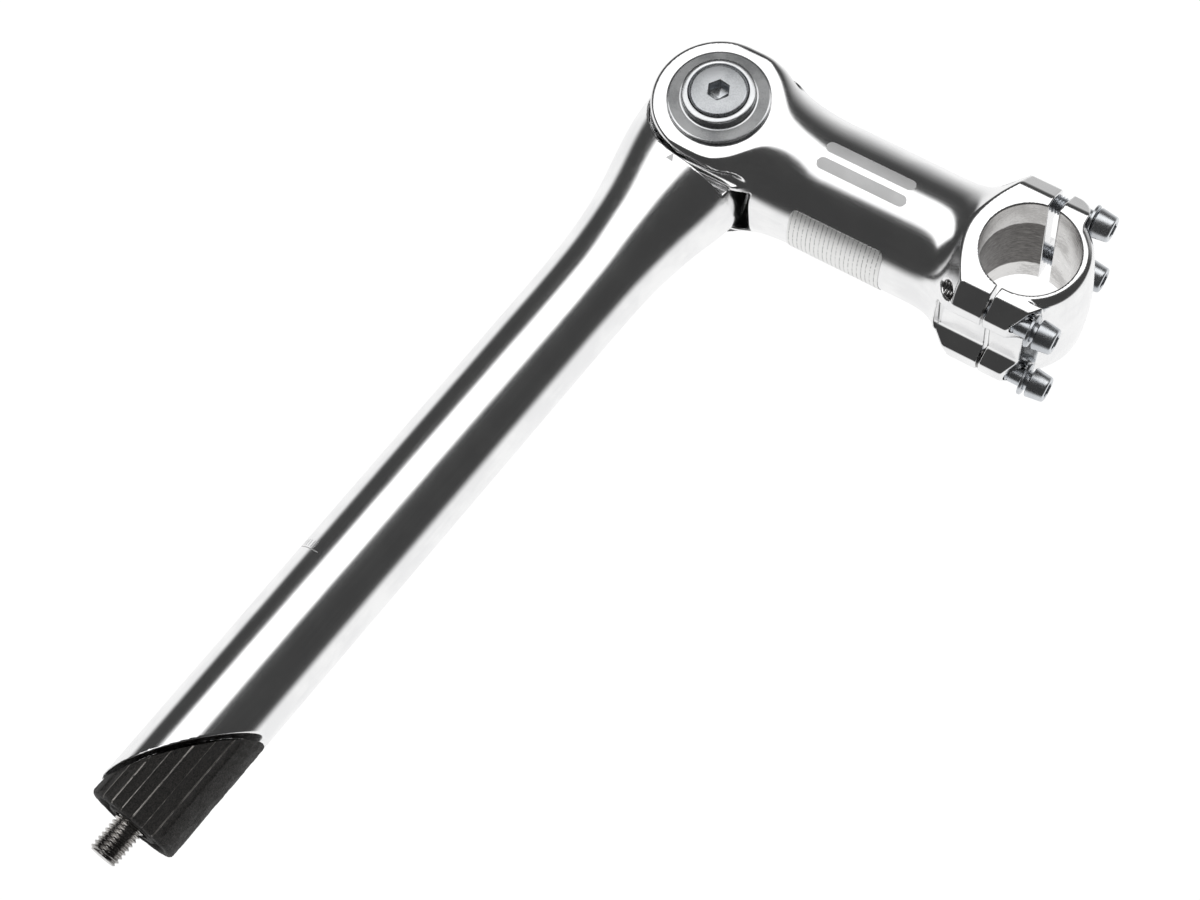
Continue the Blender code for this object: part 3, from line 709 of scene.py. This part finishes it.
def arm():
    grid = (span(-19.5, BAR + 1, 0.42), span(-20.5, 20.5, 0.42), span(-22, 22, 0.42))
    piece = moulded("arm_body", arm_field, grid, ARM_AXES)
    # The arm's bore gets the bored finish with painted shade in its middle
    finish_piece(piece, "arm", ["arm"], "polished_aluminium", "arm", "bored_arm_with_painted_shade")
    paint_bore(piece)
    for number, (_, y, z) in BOLTS.items():
        thread_insert(number, y, z)


def thread_insert(number, y, z):
    """The thread in one of the arm's bolt holes, which ends just inside the flare."""
    turn = np.arange(96) * TAU / 96
    out = np.hypot(y + M5_TAP * np.cos(turn), z + M5_TAP * np.sin(turn))
    sample = span(64.0, 88.0, 0.1)
    mouth = np.interp(out, curve(sample, FLARE), sample)
    start = BAR - 20.5
    rows = []
    for radius, along in thread_rows(M5_TAP + 0.02, 0.34, M5_PITCH, 0, 18.0, per_turn=8):
        rows.append((radius, np.maximum(along, mouth - start + 0.5 + 0.001 * along)))
    rows += [(M5_TAP + 0.6, 18.0), (M5_TAP + 0.6, mouth - start + 1.0), rows[0]]
    insert = lathe(f"tapped_hole_{number}", rows, ARM_AXES, (start, y, z), "X", 60)
    finish_piece(insert, "arm", [], "polished_aluminium", "dark")


def faceplate():
    grid = (span(BAR - 3, BAR + 18, 0.34), span(-20.5, 20.5, 0.34), span(-22, 22, 0.34))
    piece = moulded("faceplate_shell", plate_field, grid, ARM_AXES)
    finish_piece(piece, "faceplate", ["faceplate"], "polished_aluminium", "plate", "bored")
    paint_bore(piece)


def cap_rows(seat):
    """A cap washer from its spigot out over the flange and up the hub, ending in its seat."""
    return [
        (4.3, 14.0),
        (9.3, 14.0),
        (9.5, 14.2),
        (9.5, 19.2),
        (13.1, 19.2),
        (13.45, 19.45),
        (13.45, 19.75),
        (13.3, 20.05),
        (12.9, 20.25),
        (12.6, 20.3),
        (10.1, 20.38),
        (9.75, 20.45),
        (9.52, 20.7),
        (9.45, 21.1),
        (9.45, 22.85),
        (9.38, 23.05),
        (9.15, 23.18),
        (8.35, 23.3),
    ] + seat


def cap(name, seat, way):
    rows = cap_rows(seat)
    rows.append(rows[0])
    before_flange, flange = 8, 2
    after = len(rows) - 1 - before_flange - flange
    paints = [0] * before_flange + [1] * flange + [0] * after
    return lathe(name, rows, STEM_AXES, way=way, sharp=32, paints=paints)


def caps():
    left = cap("cap_washer_near", [(8.0, 23.25), (7.85, 23.05), (7.85, 22.93), (4.3, 19.38)], "-Y")
    finish_piece(left, "cap_washer", ["cap_washer_left"], "zinc_plated_steel", "hub", "blasted")
    recess = hexagon(13.6)
    seat = [(recess + 0.15, 23.3), (recess, 23.1), (recess, 17.7), (4.3, 17.7)]
    right = cap("cap_washer_far", seat, "Y")
    finish_piece(right, "arm", ["cap_washer_right"], "zinc_plated_steel", "hub", "blasted")


def pivot_screw():
    rows = thread_rows(4.0, 0.6, M8_PITCH, -22.6, -8.0)
    rows += [(4.0, -7.5), (4.0, 19.35), (4.1, 19.5), (7.4, 22.8), (7.55, 23.0), (7.55, 23.15)]
    rows += [(7.4, 23.35), (6.95, 23.5)]
    paints = [0] * len(rows) + [1] + [0] * 5
    rows += socket_rows(6.85, 5.0, 23.55, 3.2)
    screw = lathe("pivot_screw", rows, STEM_AXES, way="-Y", paints=paints)
    finish_piece(screw, "pivot_bolt", ["pivot_bolt"], "zinc_plated_steel", "zinc", "satin")
    hexa, inside = hexagon(13.0), 4.3
    crown = np.minimum(hexa, 6.75)
    rows = [(inside, 18.2), (inside + 0.3, 18.0), (crown, 18.0), (hexa, 18.45), (hexa, 22.7)]
    rows += [(crown, 23.2), (inside + 0.4, 23.2), (inside, 22.9), rows[0]]
    nut = lathe("pivot_hex_nut", rows, STEM_AXES, way="Y")
    finish_piece(nut, "arm", ["pivot_nut"], "zinc_plated_steel", "zinc")


def clamp_screws():
    for number, (_, y, z) in BOLTS.items():
        seat, slack = (TOP_SEAT, TOP_SLACK) if z > 0 else (LOW_SEAT, LOW_SLACK)
        rows = thread_rows(2.5, 0.42, M5_PITCH, -20.0, -5.2)
        rows += [(2.48, -5.0), (2.48, -0.2), (2.7, 0.0), (3.75, 0.0), (4.0, 0.25), (3.97, 0.6)]
        rows += [(3.48, 4.3), (3.4, 4.6), (3.2, 4.82)] + socket_rows(3.0, 4.0, 4.9, 2.5, 0.2)
        place = (BAR + seat + WASHER + slack, y, z)
        screw = lathe(f"clamp_screw_{number}", rows, ARM_AXES, place, "X")
        finish_piece(screw, f"clamp_bolt_{number}", [f"clamp_bolt_{number}"], "zinc_plated_steel", "zinc")
        rows = [(2.8, 0.1), (2.95, 0.0), (4.15, 0.0), (4.3, 0.15), (4.3, 0.7), (4.1, 0.9)]
        rows += [(3.0, 0.9), (2.8, 0.75), rows[0]]
        ring = lathe(f"screw_washer_{number}", rows, ARM_AXES, (BAR + seat, y, z), "X")
        finish_piece(ring, "faceplate", [f"clamp_washer_{number}"], "zinc_plated_steel", "zinc")


def expander():
    head = -51.0
    rows = thread_rows(4.0, 0.62, M8_PITCH, EXPANDER_END, -196.0)
    rows += [(4.0, -195.0), (4.0, head), (6.2, head), (6.5, head + 0.3), (6.5, head + 7.4)]
    rows += [(6.3, head + 7.8), (5.9, head + 8.0)] + socket_rows(5.7, 6.0, head + 8.0, 4.0)
    bolt = lathe("expander_screw", rows, STEM_AXES)
    finish_piece(bolt, "expander_bolt", ["expander_bolt"], "dark_steel", "screw")


def value_noise(points, size, seed):
    """Smooth noise from -1 to 1 at points, with blobs of about this size."""
    rng = np.random.default_rng(seed)
    table = rng.uniform(-1, 1, 4096)
    cell = np.floor(points / size).astype(int)
    part = points / size - cell
    part = part * part * (3 - 2 * part)
    total = np.zeros(len(points))
    for corner in product((0, 1), repeat=3):
        at = cell + corner
        key = (at[:, 0] * 73 + at[:, 1] * 179 + at[:, 2] * 283) % 4096
        weight = np.prod(np.where(np.array(corner) == 1, part, 1 - part), axis=1)
        total += table[key] * weight
    return total


def wedge():
    """A rough casting with upright ridges, a slanted top and a ring groove in its foot."""
    steps, foot, radius, hole = 360, WEDGE_FOOT, WEDGE_R, 4.9
    turn = np.arange(steps) * TAU / steps
    rows = [(hole, foot), (6.6, foot), (6.9, foot + 0.2), (7.2, foot + 1.0), (9.7, foot + 1.0)]
    rows += [(10.0, foot + 0.2), (10.2, foot), (11.5, foot), (11.85, foot + 0.15), (12.2, foot + 0.5)]
    slope = math.tan(SLANT)
    level = SLANT_AT - 1.2 / math.cos(SLANT) + slope * WEDGE_SHIFT
    top = level + slope * radius * np.cos(turn)
    away = (np.degrees(turn) + RIDGE_ANGLE + 180) % 360 - 180
    phase = np.abs((away / RIDGE_STEP + 0.5) % 1 - 0.5) * 2
    fluted = (away > -12) & (away < 88)
    ridges = np.where(fluted, 0.38 * (1 - phase) ** 2.2 - 0.3, 0)
    for share in np.linspace(0, 1, 70):
        along = foot + 0.9 + (top - 0.35 - foot - 0.9) * share
        fade = min(1, share * 14) * min(1, (1 - share) * 14 + 0.2)
        rows.append((radius - 0.1 + ridges * fade, along))
    for share in np.linspace(0.02, 1, 12):
        out = radius - 0.45 - (radius - 0.45 - hole) * share
        rows.append((out, level + slope * out * np.cos(turn)))
    rows.append(rows[0])
    piece = lathe("wedge_casting", rows, STEM_AXES, (WEDGE_SHIFT, 0, 0), sharp=60)
    roughen(piece)
    finish_piece(piece, "wedge", ["expander_wedge"], "black_cast_alloy", "cast", "worn")
    for face in piece.data.polygons:
        x, y = face.center[0] / MM - WEDGE_SHIFT, face.center[1] / MM
        turned = math.degrees(math.atan2(y, x)) + RIDGE_ANGLE
        on_ridge = -3 < turned < 82 and abs((turned / RIDGE_STEP + 0.5) % 1 - 0.5) < 0.035
        face.material_index = int(on_ridge and math.hypot(x, y) > radius - 0.6)


def roughen(piece):
    """Moves a casting's points by a rough noise, coarse and fine."""
    mesh = piece.data
    points, normals = np.zeros(len(mesh.vertices) * 3), np.zeros(len(mesh.vertices) * 3)
    mesh.vertices.foreach_get("co", points)
    mesh.vertices.foreach_get("normal", normals)
    points, normals = points.reshape(-1, 3), normals.reshape(-1, 3)
    rough = 0.07 * value_noise(points / MM, 0.7, 3) + 0.09 * value_noise(points / MM, 2.6, 5)
    mesh.vertices.foreach_set("co", (points + normals * (rough * MM)[:, None]).ravel())


def sheet_faces(rows, columns):
    """The faces of a thin sheet: two grids of points, one under the other, joined round the rim."""
    faces, half = [], rows * columns
    for i in range(rows - 1):
        for j in range(columns - 1):
            a = i * columns + j
            quad = (a, a + 1, a + columns + 1, a + columns)
            faces += [quad, tuple(half + corner for corner in quad[::-1])]
    rim = [i * columns for i in range(rows - 1, -1, -1)] + list(range(1, columns))
    rim += [i * columns + columns - 1 for i in range(1, rows)]
    rim += [(rows - 1) * columns + j for j in range(columns - 2, 0, -1)]
    for a, b in zip(rim, rim[1:] + rim[:1]):
        faces.append((b, a, half + a, half + b))
    return faces


def sheet_on(name, outline_grid, field, axes, lift):
    """A thin mark that lies on a surface: a grid of points moved onto it and raised a hair."""
    rows, columns = outline_grid.shape[:2]
    first, across, down = outline_grid[0, 0], outline_grid[0, 1], outline_grid[1, 0]
    facing = np.cross(across - first, down - first) @ slope_of(field, first[None])[0]
    if facing < 0:
        outline_grid = outline_grid[:, ::-1]
    points = settle(field, outline_grid.reshape(-1, 3), 8, 3.0)
    slope = slope_of(field, points)
    slope /= np.linalg.norm(slope, axis=1)[:, None]
    points = np.concatenate([points + slope * lift, points - slope * 0.05])
    normals = np.concatenate([slope, slope])
    return mesh_object(name, points, sheet_faces(rows, columns), axes, normals)


def bar_grid(start, stop, middle, half, count=60):
    """A grid over a long bar with round ends, on the arm's near side."""
    rows = []
    for x in np.linspace(start, stop, count):
        end = min(x - start, stop - x)
        reach = half if end > half else math.sqrt(max(half**2 - (half - end) ** 2, 0.01))
        rows.append([(x, -BODY_R, middle + reach * side) for side in np.linspace(-1, 1, 13)])
    return np.array(rows)


def marks():
    """Plain frosted bars on the arm, an index mark under the pivot, and the line round the
    quill that shows how deep it has to go in."""
    for number, (middle, half) in enumerate(((2.6, 1.7), (-2.6, 1.7)), 1):
        grid = bar_grid(30.0, 55.5, middle, half)
        bar = sheet_on(f"frosted_bar_{number}", grid, arm_field, ARM_AXES, 0.02)
        finish_piece(bar, "arm", [], "polished_aluminium", "frosted")
    rows = []
    for share in np.linspace(0.02, 1, 12):
        middle = np.array([-0.45, -19.0, -20.9 + 2.1 * (1 - share)])
        rows.append([middle + (1.15 * share * side, 0, 0) for side in np.linspace(-1, 1, 9)])
    triangle = sheet_on("index_mark", np.array(rows), quill_field, STEM_AXES, 0.02)
    finish_piece(triangle, "quill", [], "polished_aluminium", "frosted")
    line = -PIVOT[2] / MM
    angles = np.radians(np.linspace(-150, -112, 50))
    rows = [
        [(QUILL_R * math.cos(a), QUILL_R * math.sin(a), line + height) for a in angles]
        for height in np.linspace(-0.12, 0.12, 3)
    ]
    ring = sheet_on("insertion_line", np.array(rows), quill_field, STEM_AXES, 0.015)
    finish_piece(ring, "quill", [], "polished_aluminium", "frosted")
    for number, angle in enumerate(np.linspace(-146, -122, 5)):
        a = math.radians(angle)
        wide = 0.01
        rows = [
            [(QUILL_R * math.cos(a + s), QUILL_R * math.sin(a + s), line + h) for s in (-wide, 0, wide)]
            for h in np.linspace(0.5, 2.4, 7)
        ]
        tick = sheet_on(f"insertion_tick_{number}", np.array(rows), quill_field, STEM_AXES, 0.015)
        finish_piece(tick, "quill", [], "polished_aluminium", "frosted")


def label():
    """The film round the arm's underside, a rectangle with round corners."""
    inner, outer = BODY_R + 0.06, BODY_R + 0.2
    corner = LABEL_CORNER
    points = []
    lengths = np.linspace(LABEL_START, LABEL_STOP, 70)
    turns = np.linspace(-1, 1, 41)
    for radius in (outer, inner):
        for x in lengths:
            end = min(x - LABEL_START, LABEL_STOP - x)
            cut = 0 if end > corner else corner - math.sqrt(max(corner**2 - (corner - end) ** 2, 0))
            half = LABEL_HALF - cut / outer
            for side in turns:
                a = math.radians(-90) + half * side
                points.append((x, radius * math.cos(a), radius * math.sin(a)))
    faces = [face[::-1] for face in sheet_faces(len(lengths), len(turns))]
    film = mesh_object("label_sheet", points, faces, ARM_AXES)
    film.data.set_sharp_from_angle(angle=math.radians(40))
    finish_piece(film, "arm", ["label_film"], "label_film", "film")


def dress_nodes():
    """Better materials for the frame's own pieces that stay."""
    rings = [f"{kind}_ring_{side}" for kind in ("tongue", "lock") for side in ("left", "right")]
    for name in ["pivot_sleeve"] + rings:
        frame["nodes"][name].data.materials[0] = PAINTS["dark"]
    frame["nodes"]["expander_washer"].data.materials[0] = PAINTS["zinc"]


# Setting


RIGHT = Vector((0.7837, 0.0647, 0.6177)).normalized()
FORWARD = Vector((-0.2954, 0.9148, 0.2771)).normalized()
RIGHT = (RIGHT - FORWARD * RIGHT.dot(FORWARD)).normalized()
UP = RIGHT.cross(FORWARD)
CAMERA_AT, LENS, SENSOR = (0.257302, -0.704179, -0.147299), 92.63, 36.0
PAPER, CLOTH, SOFTBOX, BACKDROP = 1.0, 0.055, 1.5, 1.05
FLOOR_SIZE, FLOOR_HEIGHT = 3.0, -0.18


def camera():
    data = bpy.data.cameras.new("camera")
    data.sensor_width = SENSOR
    data.lens = LENS
    data.clip_start, data.clip_end = 0.05, 20.0
    made = bpy.data.objects.new("camera", data)
    turn = Matrix((RIGHT, UP, -FORWARD)).transposed().to_4x4()
    made.matrix_world = Matrix.Translation(CAMERA_AT) @ turn
    bpy.context.scene.collection.objects.link(made)
    bpy.context.scene.camera = made


def sums(tree, operation, a, b=None, c=None):
    """A Math node: each input is a number or another node's output."""
    made = node(tree, "ShaderNodeMath", operation=operation)
    for socket, value in zip(made.inputs, (a, b, c)):
        if isinstance(value, (int, float)):
            socket.default_value = value
        elif value is not None:
            tree.links.new(value, socket)
    return made.outputs[0]


def edge(tree, value, start, stop):
    """0 below start and 1 above stop, with a soft step between."""
    made = node(tree, "ShaderNodeMapRange", interpolation_type="SMOOTHSTEP")
    tree.links.new(value, made.inputs["Value"])
    made.inputs["From Min"].default_value = start
    made.inputs["From Max"].default_value = stop
    return made.outputs["Result"]


def component(tree, direction, axis):
    made = node(tree, "ShaderNodeVectorMath", operation="DOT_PRODUCT")
    tree.links.new(direction, made.inputs[0])
    made.inputs[1].default_value = axis
    return made.outputs["Value"]


def studio_light(tree):
    """How bright the studio is in each direction: white paper all round, black cloth on the
    near side, and a wide softbox over the camera."""
    direction = node(tree, "ShaderNodeTexCoord").outputs["Generated"]
    right = component(tree, direction, RIGHT)
    up = component(tree, direction, UP)
    near = component(tree, direction, -FORWARD)
    raised = sums(tree, "MAXIMUM", up, 0.0)
    limit = sums(tree, "MULTIPLY_ADD", raised, 0.62, near)
    hard, soft = edge(tree, limit, -0.1, 0.22), edge(tree, limit, -0.55, 0.7)
    share = sums(tree, "MULTIPLY", edge(tree, right, -0.35, 0.05), edge(tree, up, 0.3, 0.6))
    cloth = sums(tree, "MULTIPLY_ADD", share, sums(tree, "SUBTRACT", soft, hard), hard)
    angle = sums(tree, "DEGREES", sums(tree, "ARCTAN2", up, near))
    start = sums(tree, "SUBTRACT", angle, sums(tree, "MULTIPLY", right, 17.0))
    low = edge(tree, start, 18.5, 23.5)
    high = sums(tree, "SUBTRACT", 1.0, edge(tree, angle, 58.0, 64.0))
    wide = sums(tree, "SUBTRACT", 1.0, edge(tree, sums(tree, "ABSOLUTE", right), 0.7, 0.78))
    softbox = sums(tree, "MULTIPLY", sums(tree, "MULTIPLY", low, high), wide)
    shade = sums(tree, "MULTIPLY_ADD", cloth, CLOTH - PAPER, PAPER)
    return sums(tree, "MULTIPLY_ADD", softbox, sums(tree, "SUBTRACT", SOFTBOX, shade), shade)


def world():
    made = bpy.data.worlds.new("studio")
    made.use_nodes = True
    tree = made.node_tree
    back = tree.nodes["Background"]
    seen = node(tree, "ShaderNodeLightPath").outputs["Is Camera Ray"]
    light = studio_light(tree)
    strength = sums(tree, "MAXIMUM", light, sums(tree, "MULTIPLY", seen, BACKDROP))
    back.inputs["Color"].default_value = (1, 1, 1, 1)
    tree.links.new(strength, back.inputs["Strength"])
    bpy.context.scene.world = made


def floor():
    mesh = bpy.data.meshes.new("floor")
    signs = ((-1, -1), (1, -1), (1, 1), (-1, 1))
    corners = [(a * FLOOR_SIZE, b * FLOOR_SIZE, FLOOR_HEIGHT) for a, b in signs]
    mesh.from_pydata(corners, [], [(0, 1, 2, 3)])
    made = bpy.data.objects.new("floor", mesh)
    paint, tree, shader = new_material("pale_floor", 0.0, 0.8, (0.86, 0.86, 0.86))
    grain = noise(tree, scaled_place(tree, (30, 30, 30)), 1.0)
    colour = blend_colour(tree, grain, (0.84, 0.84, 0.84), (0.88, 0.88, 0.88))
    tree.links.new(colour, shader.inputs["Base Color"])
    mesh.materials.append(paint)
    made.visible_glossy = False
    bpy.context.scene.collection.objects.link(made)


make_materials()
quill()
arm()
faceplate()
caps()
pivot_screw()
clamp_screws()
expander()
wedge()
marks()
label()
dress_nodes()
camera()
world()
floor()
bpy.context.scene.view_settings.view_transform = "Standard"
